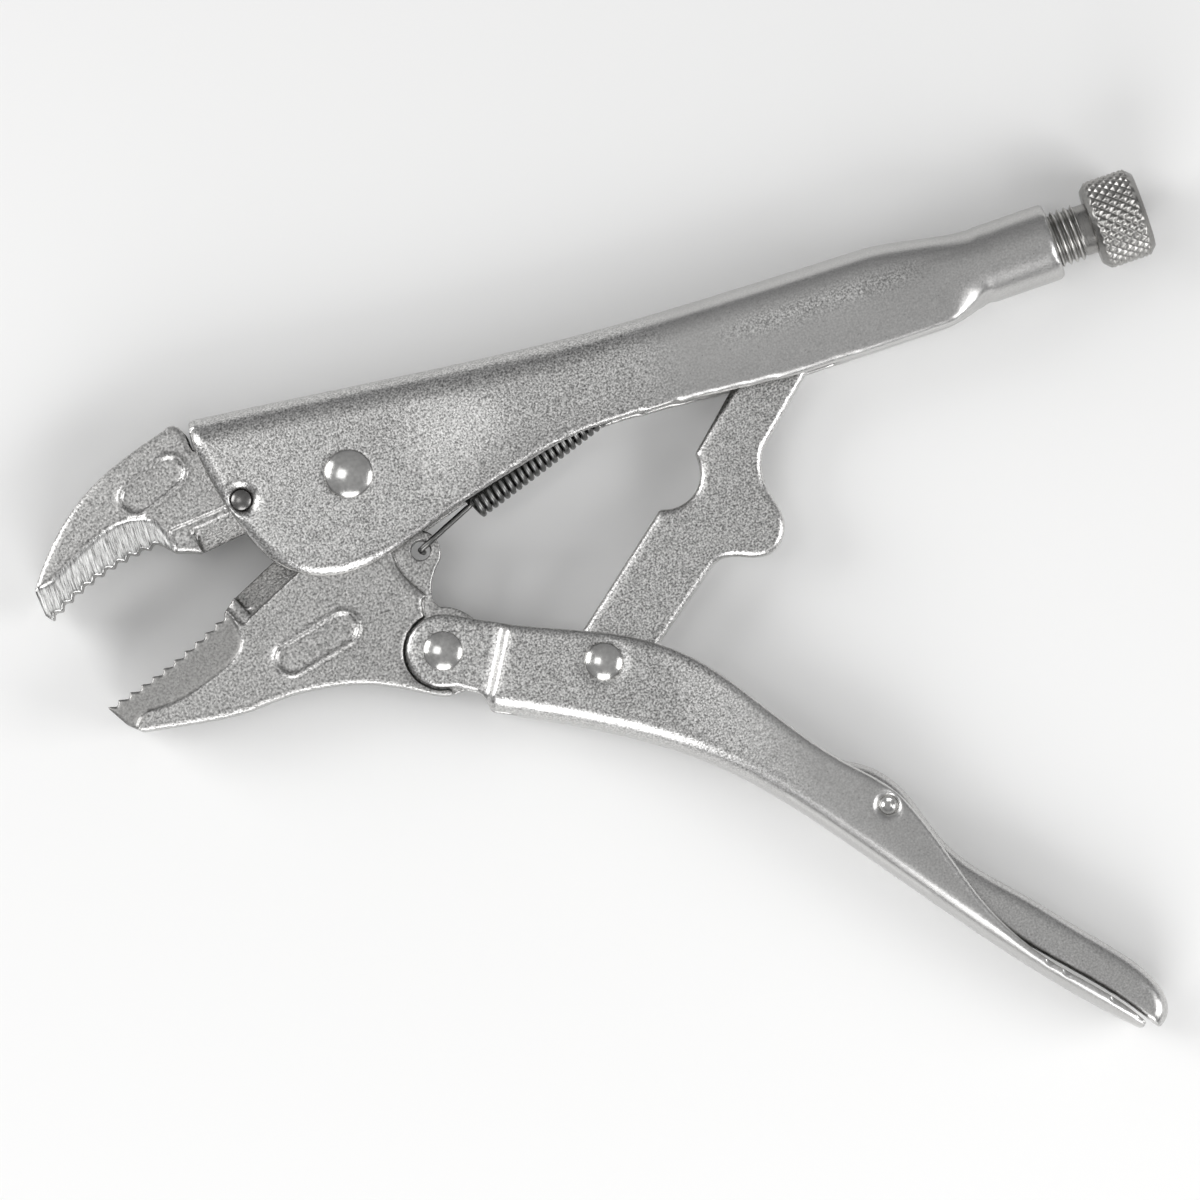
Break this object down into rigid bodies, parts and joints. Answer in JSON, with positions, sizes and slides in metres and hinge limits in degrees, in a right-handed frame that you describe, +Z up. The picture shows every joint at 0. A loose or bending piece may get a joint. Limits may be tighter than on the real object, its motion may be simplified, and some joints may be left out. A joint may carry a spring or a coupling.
{
  "type": "locking pliers",
  "caption": "Locking pliers with curved toothed jaws, a pressed steel fixed handle, an over-centre toggle handle with release lever, and a knurled adjusting screw.",
  "frame": {"origin": "bottom centre of the tool lying on its side, jaws open", "axes": "+X along the adjusting screw from the jaws to the knob, +Y towards the fixed handle's back, +Z up through the thickness, along every pivot"},
  "size_m": [0.2502, 0.1903, 0.0202],
  "materials": {
    "plated_sheet": "satin nickel plate over pressed sheet, grainy on the flat faces",
    "forged_jaw": "nickel plate over a grainy forged skin",
    "polished_rivet": "polished plate",
    "turned_steel": "turned and knurled, plated",
    "spring_wire": "drawn wire, semi-bright"
  },
  "bodies": {
    "root": {"fixed_handle": "plated_sheet", "fixed_jaw": "forged_jaw", "fixed_jaw_pin": "polished_rivet", "main_pivot_rivet": "polished_rivet", "spring_anchor_pin": "polished_rivet", "tension_spring": "spring_wire"},
    "moving_jaw": {"moving_jaw": "forged_jaw"},
    "lower_handle": {"lower_handle": "plated_sheet", "jaw_handle_rivet": "polished_rivet", "toggle_rivet": "polished_rivet", "toggle_spacers": "turned_steel", "release_lever_pin": "polished_rivet"},
    "toggle_link": {"toggle_link": "plated_sheet"},
    "release_lever": {"release_lever": "plated_sheet"},
    "screw_shank": {"adjusting_screw": "turned_steel"},
    "screw_knob": {"adjusting_knob": "turned_steel"}
  },
  "joints": [
    {"name": "jaw_pivot", "type": "hinge", "parent": "root", "child": "moving_jaw", "pos_m": [-0.0537, 0.0725, 0.0101], "axis": [0, 0, -1], "range_deg": [0, 16.1], "stiffness_Nm_per_rad": 0.3, "springref_deg": -34.38, "deforming": ["tension_spring"]},
    {"name": "handle_pivot", "type": "hinge", "parent": "moving_jaw", "child": "lower_handle", "pos_m": [-0.0471, 0.0303, 0.0101], "axis": [0, 0, 1], "range_deg": [0, 52]},
    {"name": "link_pivot", "type": "hinge", "parent": "lower_handle", "child": "toggle_link", "pos_m": [-0.0155, 0.0169, 0.0101], "axis": [0, 0, -1], "range_deg": [0, 53.1]},
    {"name": "release_lever_pivot", "type": "hinge", "parent": "lower_handle", "child": "release_lever", "pos_m": [0.0317, -0.0318, 0.0101], "axis": [0, 0, 1], "range_deg": [0, 5]},
    {"name": "screw_turn", "type": "hinge", "parent": "screw_shank", "child": "screw_knob", "pos_m": [0.1133, 0.0706, 0.0101], "axis": [1, 0, 0], "range_deg": [0, 1800]},
    {"name": "screw_travel", "type": "slide", "parent": "root", "child": "screw_shank", "axis": [1, 0, 0], "range_m": [0, 0.0075]}
  ],
  "couplings": [
    {"joint": "jaw_pivot", "follows": "handle_pivot", "ratio": 0.30769},
    {"joint": "link_pivot", "follows": "handle_pivot", "ratio": 1.02},
    {"joint": "screw_turn", "follows": "screw_travel", "rad_per_m": 4188.8}
  ]
}
